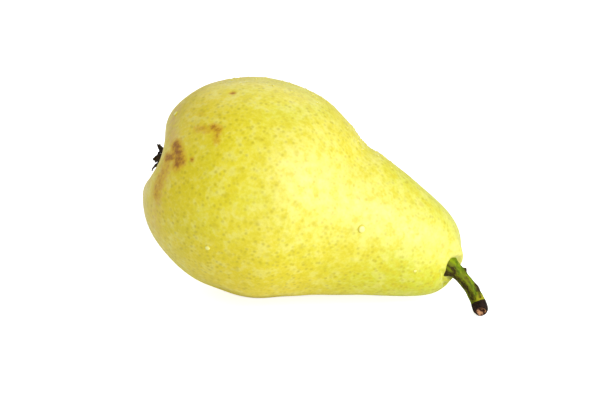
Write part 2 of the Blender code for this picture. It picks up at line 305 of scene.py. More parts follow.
# A healed pit in the skin: place, depth and width.
PIT_HEIGHT = 16.2
PIT_SIDE = math.radians(15)
PIT_DEPTH = 0.35
PIT_WIDTH = 1.2


class FineSkin:
    """The skin as a fine grid of points: own is the fruit's frame and world is the lying pose."""

    def __init__(self):
        distances = np.linspace(OUTLINE_START, OUTLINE_END, SKIN_RINGS + 2)[:, None]
        angles = np.linspace(0.0, math.tau, SKIN_SIDES, endpoint=False)[None, :]
        self.angles = angles[0]
        self.own = skin(distances, angles)
        world = self.own @ LAID_DOWN.T
        low, high = (np.array(corner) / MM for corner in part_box("fruit"))
        fine_low = world.min(axis=(0, 1))
        fine_high = world.max(axis=(0, 1))
        self.place = 0.5 * (low + high - fine_low - fine_high)
        self.place[2] = high[2] - fine_high[2]
        self.world = world + self.place

    def spot(self, height, side):
        """Row and column of the point at this height, outside the basin, and side of the core."""
        column = int(round(side / math.tau * SKIN_SIDES)) % SKIN_SIDES
        heights = self.own[:, column, 2]
        first = int(np.argmin(heights[: SKIN_RINGS // 2]))
        return first + int(np.argmin(np.abs(heights[first:] - height))), column

    def point(self, height, side):
        return self.world[self.spot(height, side)]

    def add_relief(self, foot, leaves):
        """Moves the skin along its normals. foot and leaves are the stem's foot and heading."""
        relief = np.zeros(self.world.shape[:2])
        for size, depth in UNEVENNESS:
            relief += depth * noise_at(self.own, size)
        reach = np.linalg.norm(self.own[..., :2], axis=-1)
        at_base = smooth_step(self.own[..., 2], PUCKER_FADE_TO, PUCKER_FADE_FROM)
        wander = PUCKER_WANDER * noise_at(self.own, PUCKER_WANDER_SIZE)
        pucker = np.cos(PUCKERS * (self.angles[None, :] + wander))
        relief += PUCKER_DEPTH * pucker * bell(reach - PUCKER_REACH, PUCKER_SPREAD) * at_base

        offset = self.world - foot
        along = offset @ leaves
        across = offset - along[..., None] * leaves
        distance = np.linalg.norm(across, axis=-1)
        near = smooth_step(self.own[..., 2], CROWN_START, LENGTH)
        relief += LIP_HEIGHT * bell(distance - LIP_DISTANCE, LIP_WIDTH) * near
        towards = across @ LOBE_TOWARDS / np.maximum(distance, 1.0)
        behind = smooth_step(towards, LOBE_FROM, LOBE_TO)
        relief += LOBE_HEIGHT * bell(distance - LOBE_DISTANCE, LOBE_WIDTH) * behind * near
        relief -= CREASE_DEPTH * bell(distance - CREASE_DISTANCE, CREASE_WIDTH) * near
        fold = [self.point(height, math.radians(side)) for height, side in FOLD_PLACES]
        relief -= FOLD_DEPTH * stroke(self.world, fold, FOLD_WIDTH)

        for places, width, depth in HOLLOWS:
            path = [self.point(height, math.radians(side)) for height, side in places]
            relief -= depth * stroke(self.world, path, width)

        pit = np.linalg.norm(self.world - self.point(PIT_HEIGHT, PIT_SIDE), axis=-1)
        relief -= PIT_DEPTH * bell(pit, PIT_WIDTH)

        self.world += relief[..., None] * grid_normals(self.world)
        height = self.world[..., 2]
        self.world[..., 2] = 0.5 * (height + np.sqrt(height**2 + FLAT_SOFTNESS**2))
        self.normals = grid_normals(self.world)


# ------------------------------------------------------------
# Making pieces
# ------------------------------------------------------------


def ring_faces(rings, sides, first=0):
    """Quads between rings of points that close round, outward when the rings run along the piece."""
    faces = []
    for ring in range(rings - 1):
        lower = first + ring * sides
        upper = lower + sides
        for side in range(sides):
            after = (side + 1) % sides
            faces.append((lower + side, lower + after, upper + after, upper + side))
    return faces


def fan_faces(tip, ring_start, sides, flip=False):
    """Triangles from a ring of points to its tip."""
    faces = []
    for side in range(sides):
        after = (side + 1) % sides
        pair = (ring_start + after, ring_start + side)
        faces.append((tip, *reversed(pair)) if flip else (tip, *pair))
    return faces


def closed_tube(grid, start, end):
    """Points and faces of a closed body: a grid of rings with a point at each end."""
    rings, sides = grid.shape[:2]
    points = np.concatenate((grid.reshape(-1, 3), [start, end]))
    faces = ring_faces(rings, sides)
    faces += fan_faces(rings * sides, 0, sides)
    faces += fan_faces(rings * sides + 1, (rings - 1) * sides, sides, flip=True)
    return points, faces


def make_piece(name, points, faces, material, nodes=()):
    """A smooth piece from points in millimetres. It stands for the CAD nodes and rides on the root."""
    mesh = bpy.data.meshes.new(name)
    mesh.from_pydata((np.asarray(points) * MM).tolist(), [], faces)
    mesh.shade_smooth()
    mesh.materials.append(material)
    piece = bpy.data.objects.new(name, mesh)
    bpy.context.scene.collection.objects.link(piece)
    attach(piece, "root")
    if nodes:
        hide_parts(*nodes)
    return piece


def add_values(piece, name, values):
    """Stores a number for each vertex, which a material can read."""
    layer = piece.data.attributes.new(name, "FLOAT", "POINT")
    layer.data.foreach_set("value", np.asarray(values, dtype=np.float32).ravel())


def add_vectors(piece, name, vectors):
    """Stores a vector for each vertex, which a material can read."""
    layer = piece.data.attributes.new(name, "FLOAT_VECTOR", "POINT")
    layer.data.foreach_set("vector", np.asarray(vectors, dtype=np.float32).ravel())


def directions_about(first, second, angles):
    """Directions at these angles about one or more axes, from two directions square to each axis."""
    turn = angles[:, None]
    return first[..., None, :] * np.cos(turn) + second[..., None, :] * np.sin(turn)


def join_bodies(bodies):
    """Points and faces of several bodies as one."""
    all_points = []
    all_faces = []
    shift = 0
    for points, faces in bodies:
        all_points.append(points)
        all_faces += [tuple(shift + vertex for vertex in face) for face in faces]
        shift += len(points)
    return np.concatenate(all_points), all_faces


def stroke(points, path, radius):
    """1 on the line through path, falling to 0 at radius from it, for each of points."""
    path = [np.asarray(corner, dtype=float) for corner in path]
    nearest = np.full(points.shape[:-1], np.inf)
    for a, b in zip(path, path[1:] or path):
        span = b - a
        share = np.clip((points - a) @ span / max(span @ span, 1e-9), 0.0, 1.0)
        gap = np.linalg.norm(points - a - share[..., None] * span, axis=-1)
        nearest = np.minimum(nearest, gap)
    return smooth_step(nearest, radius, 0.0)


# ------------------------------------------------------------
# Materials
# ------------------------------------------------------------


def srgb(red, green, blue):
    """Linear colour of an 8-bit sRGB one."""
    channels = []
    for value in (red, green, blue):
        share = value / 255.0
        linear = share / 12.92 if share <= 0.04045 else ((share + 0.055) / 1.055) ** 2.4
        channels.append(linear)
    return (*channels, 1.0)


# Colours of the skin, the bark, the dried calyx and the water.
SKIN_YELLOW = srgb(238, 226, 46)
SKIN_GREEN = srgb(218, 223, 44)
# Warmer yellow of the calyx end, also partly painted shade along the underside.
SKIN_WARM_AND_SHADE = srgb(236, 212, 20)
# Pale, whitish colour of a painted highlight.
SKIN_PAINTED_HIGHLIGHT = srgb(242, 237, 128)
MOTTLE_PALE = srgb(246, 242, 148)
MOTTLE_DEEP = srgb(226, 210, 10)
GRAIN_DEEP = srgb(212, 196, 16)
GRAIN_PALE = srgb(248, 244, 150)
LENTICEL = srgb(176, 156, 0)
LENTICEL_FAINT = srgb(208, 190, 6)
TAN = srgb(226, 190, 102)
RUSSET_HAZE = srgb(214, 158, 0)
CORK = srgb(148, 84, 0)
BARK_DEEP = srgb(74, 100, 0)
BARK_GREEN = srgb(136, 158, 0)
BARK_FRESH = srgb(176, 170, 30)
# Brown of the dark marks, which partly paint shade along the stem's lower side.
BARK_STAIN_AND_SHADE = srgb(98, 86, 6)
BARK_DARK = srgb(48, 30, 6)
COLLAR_BLACK = srgb(12, 6, 3)
COLLAR_BROWN = srgb(56, 32, 20)
WOOD_DARK = srgb(66, 32, 14)
WOOD_PALE = srgb(202, 150, 108)
DRY_DARK = srgb(22, 14, 10)
DRY_PALE = srgb(66, 46, 32)
# Water colours are painted light: a highlight in the middle of each drop and a deeper rim.
WATER_PAINTED_HIGHLIGHT = srgb(248, 246, 150)
WATER_PAINTED_RIM = srgb(228, 212, 24)


class Shading:
    """A material in the making, with short calls for the nodes that feed its Principled shader."""

    def __init__(self, name):
        self.material = bpy.data.materials.new(name)
        self.material.use_nodes = True
        self.tree = self.material.node_tree
        self.shader = self.tree.nodes["Principled BSDF"]

    def feed(self, socket, value):
        """Links a socket to another node's output, or sets it to a plain value."""
        if isinstance(value, bpy.types.NodeSocket):
            self.tree.links.new(value, socket)
        else:
            socket.default_value = value

    def attribute(self, name, output):
        made = self.tree.nodes.new("ShaderNodeAttribute")
        made.attribute_name = name
        return made.outputs[output]

    def noise(self, vector, size, detail=2.0, roughness=0.5):
        """Noise of 0 to 1 with features of about this size."""
        made = self.tree.nodes.new("ShaderNodeTexNoise")
        self.feed(made.inputs["Vector"], vector)
        made.inputs["Scale"].default_value = 1.0 / size
        made.inputs["Detail"].default_value = detail
        made.inputs["Roughness"].default_value = roughness
        return made.outputs[0]

    def cells(self, vector, size):
        """Distance to the nearest of scattered points, as a share of size, and a random colour."""
        made = self.tree.nodes.new("ShaderNodeTexVoronoi")
        self.feed(made.inputs["Vector"], vector)
        made.inputs["Scale"].default_value = 1.0 / size
        return made.outputs["Distance"], made.outputs["Color"]

    def math(self, operation, first, second=0.0):
        made = self.tree.nodes.new("ShaderNodeMath")
        made.operation = operation
        self.feed(made.inputs[0], first)
        self.feed(made.inputs[1], second)
        return made.outputs[0]

    def ramp(self, value, start, end, low=0.0, high=1.0):
        """low up to start, high from end, and a smooth slope between."""
        made = self.tree.nodes.new("ShaderNodeMapRange")
        made.interpolation_type = "SMOOTHSTEP"
        self.feed(made.inputs["Value"], value)
        made.inputs["From Min"].default_value = start
        made.inputs["From Max"].default_value = end
        made.inputs["To Min"].default_value = low
        made.inputs["To Max"].default_value = high
        return made.outputs[0]

    def blend(self, share, first, second):
        """A colour between two colours."""
        made = self.tree.nodes.new("ShaderNodeMix")
        made.data_type = "RGBA"
        self.feed(made.inputs[0], share)
        self.feed(made.inputs[6], first)
        self.feed(made.inputs[7], second)
        return made.outputs[2]

    def red_of(self, color):
        made = self.tree.nodes.new("ShaderNodeSeparateColor")
        self.feed(made.inputs[0], color)
        return made.outputs[0]

    def bump(self, height, depth, normal=None):
        """Normals of a relief: height 1 stands depth, in metres, above height 0."""
        made = self.tree.nodes.new("ShaderNodeBump")
        made.inputs["Distance"].default_value = depth
        self.feed(made.inputs["Height"], height)
        if normal:
            self.feed(made.inputs["Normal"], normal)
        return made.outputs[0]

    def finish(self, color, roughness, normal=None):
        self.feed(self.shader.inputs["Base Color"], color)
        self.feed(self.shader.inputs["Roughness"], roughness)
        if normal:
            self.feed(self.shader.inputs["Normal"], normal)
        return self.material


def skin_material():
    """Waxy yellow-green skin: blotches, mottling, lenticels and russet, with a painted highlight on
    one side and partly painted shade below, in millimetres of the core.
    """
    s = Shading("pear_skin")
    core = s.attribute("core", "Vector")
    russet_paint = s.attribute("russet", "Fac")
    green_paint = s.attribute("green", "Fac")
    tan_paint = s.attribute("tan", "Fac")
    warm_and_shade_paint = s.attribute("warm_and_shade", "Fac")
    painted_highlight_paint = s.attribute("pale", "Fac")

    # Ground: yellow with greener blotches, green towards the stem and warmer towards the calyx.
    blotches = s.noise(core, 17.0, 2.0)
    greener = s.math("ADD", s.ramp(blotches, 0.42, 0.66, 0.0, 0.4), green_paint)
    color = s.blend(greener, SKIN_YELLOW, SKIN_GREEN)
    # The warm tint is also painted shade: deeper yellow along the underside.
    color = s.blend(warm_and_shade_paint, color, SKIN_WARM_AND_SHADE)
    # Painted highlight: pale, whitish skin on the side that faces the key light.
    color = s.blend(painted_highlight_paint, color, SKIN_PAINTED_HIGHLIGHT)

    # Mottling: pale and deep patches of two sizes.
    mottling = s.noise(core, 3.2, 2.0, 0.6)
    color = s.blend(s.ramp(mottling, 0.46, 0.72, 0.0, 0.42), color, MOTTLE_PALE)
    color = s.blend(s.ramp(mottling, 0.54, 0.30, 0.0, 0.58), color, MOTTLE_DEEP)
    grain = s.noise(core, 0.9, 3.0, 0.6)
    color = s.blend(s.ramp(grain, 0.46, 0.72, 0.0, 0.26), color, GRAIN_DEEP)
    color = s.blend(s.ramp(grain, 0.54, 0.28, 0.0, 0.18), color, GRAIN_PALE)

    # Lenticels: small soft olive dots, and larger fainter ones, each of its own strength.
    distance, random = s.cells(core, 1.5)
    dot = s.ramp(distance, 0.54, 0.06)
    dot = s.math("MULTIPLY", dot, s.ramp(s.red_of(random), 0.05, 0.9, 0.12, 0.44))
    # The small dots fade under the painted highlight.
    dot = s.math("MULTIPLY", dot, s.ramp(painted_highlight_paint, 0.1, 0.7, 1.0, 0.6))
    color = s.blend(dot, color, LENTICEL)
    distance, random = s.cells(core, 4.4)
    patch = s.ramp(distance, 0.34, 0.06)
    patch = s.math("MULTIPLY", patch, s.ramp(s.red_of(random), 0.2, 0.9, 0.0, 0.45))
    color = s.blend(patch, color, LENTICEL_FAINT)

    # Russet: a soft tan haze with brown cork at its heart, both finely speckled.
    patchy = s.noise(core, 1.3, 4.0, 0.7)
    uneven = s.math("SUBTRACT", patchy, 0.5)
    tan = s.math("MULTIPLY", tan_paint, s.ramp(patchy, 0.32, 0.62))
    color = s.blend(tan, color, TAN)
    speckled = s.math("ADD", russet_paint, s.math("MULTIPLY", uneven, 0.9))
    haze = s.ramp(speckled, 0.05, 0.85, 0.0, 0.85)
    haze = s.math("MULTIPLY", haze, s.ramp(russet_paint, 0.0, 0.20))
    color = s.blend(haze, color, RUSSET_HAZE)
    speckled = s.math("ADD", russet_paint, s.math("MULTIPLY", uneven, 1.4))
    cork = s.ramp(speckled, 0.50, 1.15)
    cork = s.math("MULTIPLY", cork, s.ramp(russet_paint, 0.15, 0.50))
    color = s.blend(s.math("MULTIPLY", cork, 0.92), color, CORK)

    roughness = s.math("ADD", s.ramp(grain, 0.3, 0.7, 0.36, 0.44), s.math("MULTIPLY", haze, 0.25))
    fine = s.bump(s.noise(core, 0.45, 2.0), 0.00004)
    relief = s.bump(s.math("MULTIPLY", cork, patchy), 0.00012, fine)
    s.shader.inputs["Subsurface Weight"].default_value = 0.12
    s.shader.inputs["Subsurface Radius"].default_value = (1.0, 0.8, 0.15)
    s.shader.inputs["Subsurface Scale"].default_value = 0.002
    s.shader.inputs["Specular IOR Level"].default_value = 0.30
    s.shader.inputs["Coat Weight"].default_value = 0.25
    s.shader.inputs["Coat Roughness"].default_value = 0.30
    return s.finish(color, roughness, relief)


def bark_material():
    """Green bark with lengthwise brown mottling and painted shade below, a dark collar and torn pale
    wood at its end.
    """
    s = Shading("stem_bark")
    bark = s.attribute("bark", "Vector")
    dark_and_shade_paint = s.attribute("dark", "Fac")
    fresh_paint = s.attribute("fresh", "Fac")
    collar_paint = s.attribute("collar", "Fac")
    wood_paint = s.attribute("wood", "Fac")

    streaks = s.noise(bark, 0.75, 4.0, 0.6)
    color = s.blend(s.ramp(streaks, 0.35, 0.65), BARK_DEEP, BARK_GREEN)
    color = s.blend(fresh_paint, color, BARK_FRESH)
    flecks = s.noise(bark, 0.50, 3.0, 0.7)
    # Dark marks: brown marks, and painted shade along the stem's lower side.
    color = s.blend(s.ramp(dark_and_shade_paint, 0.0, 0.7, 0.0, 0.6), color, BARK_STAIN_AND_SHADE)
    reach = s.math("ADD", dark_and_shade_paint, s.math("MULTIPLY", s.math("SUBTRACT", flecks, 0.5), 2.2))
    dark = s.ramp(reach, 0.42, 0.90)
    color = s.blend(s.math("MULTIPLY", dark, 0.92), color, BARK_DARK)
    collar = s.ramp(s.math("ADD", collar_paint, s.math("MULTIPLY", streaks, 0.4)), 0.50, 1.10)
    shade = s.blend(s.ramp(flecks, 0.35, 0.7), COLLAR_BLACK, COLLAR_BROWN)
    color = s.blend(collar, color, shade)
    fibres = s.noise(bark, 1.0, 3.0, 0.6)
    wood = s.blend(s.ramp(fibres, 0.45, 0.64), WOOD_DARK, WOOD_PALE)
    color = s.blend(s.ramp(wood_paint, 0.35, 0.60), color, wood)

    roughness = s.ramp(flecks, 0.3, 0.7, 0.52, 0.74)
    relief = s.bump(streaks, 0.00014)
    relief = s.bump(flecks, 0.00010, relief)
    s.shader.inputs["Specular IOR Level"].default_value = 0.16
    return s.finish(color, roughness, relief)


def calyx_material():
    """Dried sepals and stamens: dull blackish brown with paler dry patches."""
    s = Shading("dried_calyx")
    own = s.attribute("dry", "Vector")
    fibres = s.noise(own, 0.5, 4.0, 0.65)
    color = s.blend(s.ramp(fibres, 0.35, 0.70), DRY_DARK, DRY_PALE)
    relief = s.bump(fibres, 0.00010)
    return s.finish(color, s.ramp(fibres, 0.3, 0.7, 0.65, 0.9), relief)


def water_material():
    """Drops on the skin: wet and smooth, with a painted highlight, pale in the middle and deep yellow
    towards the rim.
    """
    s = Shading("water")
    own = s.attribute("place", "Vector")
    rim = s.attribute("rim", "Fac")
    # A painted highlight in the middle that deepens to a painted rim.
    color = s.blend(s.ramp(rim, 0.30, 0.95), WATER_PAINTED_HIGHLIGHT, WATER_PAINTED_RIM)
    ripple = s.noise(own, 0.8, 1.0)
    return s.finish(color, s.ramp(ripple, 0.3, 0.7, 0.03, 0.10))


# ------------------------------------------------------------
# Fruit
# ------------------------------------------------------------

# Marks on the skin: a line of places, each a height and a side of the core in degrees, then its
# radius and strength.
RUSSET_MARKS = (
    (((6.4, 59), (7.9, 63), (9.2, 67), (9.0, 70)), 4.2, 0.95),
    (((5.3, 69), (6.8, 66)), 3.8, 0.85),
    (((5.8, 74), (5.5, 85), (5.9, 97)), 4.6, 0.60),
    (((12.5, 64), (12.9, 64)), 1.3, 0.9),
    (((10.9, 45), (14.2, 45), (15.5, 43), (17.3, 44)), 3.0, 0.55),
    (((15.4, 43), (17.0, 44)), 2.8, 0.80),
    (((17.3, 46), (17.3, 49), (17.5, 51)), 2.6, 0.60),
    (((16.0, 15), (16.6, 15)), 1.7, 0.95),
    (((9.9, 34), (10.6, 34)), 2.2, 0.30),
    (((56.8, 64), (57.0, 64)), 0.8, 0.55),
)
TAN_MARKS = (
    (((2.0, 20), (2.4, 36), (3.2, 46), (4.4, 53)), 4.8, 0.85),
    (((6.0, 80), (7.0, 100), (8.5, 125)), 5.0, 0.50),
    (((3.0, 150), (3.0, 180), (3.0, 210)), 5.0, 0.45),
)
GREEN_MARKS = (
    (((3.4, 62), (4.4, 60)), 2.6, 0.9),
    (((49.2, 118), (51.0, 118)), 4.0, 0.4),
    (((72.0, 123), (90.0, 110)), 7.0, 0.4),
)
# Tints of the ground: greener towards the stem, warmer at the calyx, deeper underneath, partly as
# painted shade, paler along the side facing the key light as a painted highlight, and tan in the
# basin.
GREEN_FROM = 52.0
WARM_FROM = 30.0
WARM_TO = 4.0
WARM_BASE_SHARE = 0.9
WARM_SHADE_SIDE = math.radians(125)
WARM_SHADE_WIDTH = math.radians(42)
WARM_SHADE_SHARE = 0.6
WARM_FADE_FROM = 45.0
WARM_FADE_TO = 85.0
HIGHLIGHT_FROM = 20.0
HIGHLIGHT_TO = 50.0
HIGHLIGHT_SIDE = math.radians(52)
HIGHLIGHT_WIDTH = math.radians(36)
HIGHLIGHT_SHARE = 0.75
BASIN_TAN_REACH = 6.0
BASIN_TAN_SPREAD = 4.5
BASIN_TAN_FROM = 8.0
BASIN_TAN_TO = 20.0
BASIN_TAN_SHARE = 0.8


def paint_marks(fine, marks):
    """Strength of the strongest of some marks at each point of the skin."""
    strongest = np.zeros(fine.world.shape[:2])
    for places, radius, strength in marks:
        path = [fine.point(height, math.radians(side)) for height, side in places]
        strongest = np.maximum(strongest, strength * stroke(fine.world, path, radius))
    return strongest


def add_round_map(piece, rings, sides):
    """A map that unrolls the piece: once round across it, and from end to end up it.
    """
    layer = piece.data.uv_layers.new(name="OFBake")
    total = rings * sides
    for face in piece.data.polygons:
        corners = list(face.vertices)
        columns = [v % sides for v in corners if v < total]
        wraps = max(columns) - min(columns) > sides // 2
        for loop, vertex in zip(face.loop_indices, corners):
            if vertex < total:
                column = vertex % sides
                row = vertex // sides
                if wraps and column < sides // 2:
                    column += sides
            else:
                column = columns[0] + (sides if wraps and columns[0] < sides // 2 else 0)
                column += 0.5
                row = -1 if vertex == total else rings
            layer.data[loop].uv = (column / (sides + 1), (row + 1) / (rings + 1))


def build_fruit(fine):
    """The skin, with the strengths of its marks, tints, painted highlight and painted shade stored for
    its material.
    """
    height = fine.own[..., 2]
    green = np.maximum(paint_marks(fine, GREEN_MARKS), smooth_step(height, GREEN_FROM, LENGTH))
    at_base = WARM_BASE_SHARE * smooth_step(height, WARM_FROM, WARM_TO)
    # Deeper underneath: partly a warmer tone and partly painted shade.
    warm_shade_below = WARM_SHADE_SHARE * bell(turn_from(fine.angles, WARM_SHADE_SIDE), WARM_SHADE_WIDTH)[None, :]
    warm_and_shade = np.maximum(at_base, warm_shade_below) * smooth_step(height, WARM_FADE_TO, WARM_FADE_FROM)
    # Painted highlight: paler along the side that faces the key light, from the bulb to the stem.
    pale = HIGHLIGHT_SHARE * bell(turn_from(fine.angles, HIGHLIGHT_SIDE), HIGHLIGHT_WIDTH)[None, :]
    pale = pale * smooth_step(height, HIGHLIGHT_FROM, HIGHLIGHT_TO)
    reach = np.linalg.norm(fine.own[..., :2], axis=-1)
    inside = bell(np.maximum(reach - BASIN_TAN_REACH, 0.0), BASIN_TAN_SPREAD)
    inside = inside * smooth_step(height, BASIN_TAN_TO, BASIN_TAN_FROM)
    tan = np.maximum(paint_marks(fine, TAN_MARKS), BASIN_TAN_SHARE * inside)
    russet = paint_marks(fine, RUSSET_MARKS)

    inner = slice(1, -1)
    points, faces = closed_tube(fine.world[inner], fine.world[0, 0], fine.world[-1, 0])
    piece = make_piece("pear_fruit", points, faces, skin_material(), ["fruit"])

    def with_ends(values):
        return np.concatenate((values[inner].reshape(-1), [values[0, 0], values[-1, 0]]))

    own = np.concatenate((fine.own[inner].reshape(-1, 3), [fine.own[0, 0], fine.own[-1, 0]]))
    add_vectors(piece, "core", own)
    # The pale paint is a painted highlight, and the warm paint is partly painted shade.
    paints = {"russet": russet, "tan": tan, "green": green, "warm_and_shade": warm_and_shade, "pale": pale}
    for name, values in paints.items():
        add_values(piece, name, with_ends(values))
    add_round_map(piece, SKIN_RINGS, SKIN_SIDES)
    return piece


# ------------------------------------------------------------
# Stem
# ------------------------------------------------------------

# The stem flares at its foot and thickens towards its tip, by shares of the way along it.
STEM_RADIUS = 1.98
STEM_FLARE = 1.15
STEM_FLARE_LENGTH = 1.5
STEM_KNOB = 0.42
STEM_KNOB_FROM = 0.50
STEM_KNOB_TO = 0.86
STEM_END_ROUNDING = 0.16
STEM_END_FROM = 0.95
STEM_ROOT = 2.4
# The stem's curve: how far its tip reaches from its foot, its headings at both ends, and how far
# the curve holds on to each of them.
STEM_REACH = np.array((9.5, -5.1, 0.0))
STEM_LEAVES = np.array((0.82, -0.14, -0.55))
STEM_ARRIVES = np.array((0.15, -0.95, -0.25))
STEM_PULL_OUT = 6.6
STEM_PULL_IN = 4.8
STEM_TIP_HEIGHT = 2.11
STEM_FOOT_SHIFT = np.array((-0.5, 0.0, 0.55))

STEM_RINGS = 200
STEM_SIDES = 96
STEM_FACE_RINGS = 20
STRIATION_DEPTH = 0.10
KNOBBLE_DEPTH = 0.13
BARK_STRETCH = 0.38

# Bumps of the bark: share of the way along, side in degrees, radius and height.
STEM_BUMPS = (
    (0.19, 330, 1.00, 0.70),
    (0.22, 342, 1.10, 0.18),
    (0.52, 330, 1.90, 0.36),
    (0.02, 128, 2.40, 0.85),
    (0.40, 150, 1.60, 0.12),
)
# Dark and fresh green marks of the bark, the dark ones partly painted shade along the stem's lower
# side: a line of places, each a share and a side in degrees, then its radius and strength.
DARK_MARKS_AND_SHADE = (
    (((0.00, 112), (0.08, 116)), 2.6, 0.95),
    (((0.02, 62), (0.10, 82)), 1.9, 0.80),
    # These two band the stem's lower side from near its foot: painted shade.
    (((0.08, 112), (0.25, 108), (0.40, 96)), 2.6, 0.85),
    (((0.40, 96), (0.52, 88), (0.66, 80)), 2.4, 0.75),
    (((0.28, 50), (0.34, 44)), 1.4, 0.60),
    (((0.18, 328), (0.20, 334)), 1.5, 1.20),
    (((0.47, 346), (0.56, 354)), 1.9, 1.10),
    (((0.58, 0), (0.68, 12)), 1.3, 0.70),
)
FRESH_MARKS = (
    (((0.72, 350), (0.73, 20)), 2.0, 0.90),
    (((0.66, 300), (0.67, 300)), 1.4, 0.70),
    (((0.20, 40), (0.30, 30)), 1.6, 0.25),
)
COLLAR_FROM = 0.745
COLLAR_TO = 0.79
COLLAR_WANDER = 0.02
# The torn end, by shares of its radius: a raised rim, then the heart, which is sunk and rough.
TORN_RIM = 0.84
TORN_RIM_WIDTH = 0.16
TORN_RIM_HEIGHT = 0.32
HEART_FROM = 0.75
HEART_TO = 0.35
HEART_DEPTH = 0.30
HEART_ROUGHNESS = 0.42
WOOD_FROM = 0.86
WOOD_TO = 0.68
WOOD_WANDER = 0.10
END_DEPTH = 0.12


def along_curve(handles, shares):
    """Points and headings of a cubic Bezier curve."""
    a, b, c, d = handles
    share = np.asarray(shares)[:, None]
    rest = 1.0 - share
    points = a * rest**3 + 3 * b * share * rest**2 + 3 * c * share**2 * rest + d * share**3
    slopes = (b - a) * rest**2 + 2 * (c - b) * share * rest + (d - c) * share**2
    return points, slopes / np.linalg.norm(slopes, axis=1, keepdims=True)


def unit(vector):
    return vector / np.linalg.norm(vector)


def stem_foot(fine):
    """Where the stem leaves the crown: at a set distance from the core, on one side of it."""
    distances = np.linspace(OUTLINE_START, OUTLINE_END, 2000)
    outer = distances[OUTLINE_AT(distances)[:, 1] >= STEM_OFFSET][-1]
    return LAID_DOWN @ skin(outer, STEM_SIDE) + fine.place


def stem_handles(foot):
    tip = foot + STEM_REACH
    tip[2] = STEM_TIP_HEIGHT
    foot = foot + STEM_FOOT_SHIFT
    after_foot = foot + unit(STEM_LEAVES) * STEM_PULL_OUT
    before_tip = tip - unit(STEM_ARRIVES) * STEM_PULL_IN
    return foot, after_foot, before_tip, tip


def ring_axes(headings):
    """Two directions square to each heading: the first one up, the second a quarter turn on."""
    up = np.array((0.0, 0.0, 1.0))
    first = up - headings * (headings @ up)[:, None]
    first /= np.linalg.norm(first, axis=1, keepdims=True)
    return first, np.cross(headings, first)


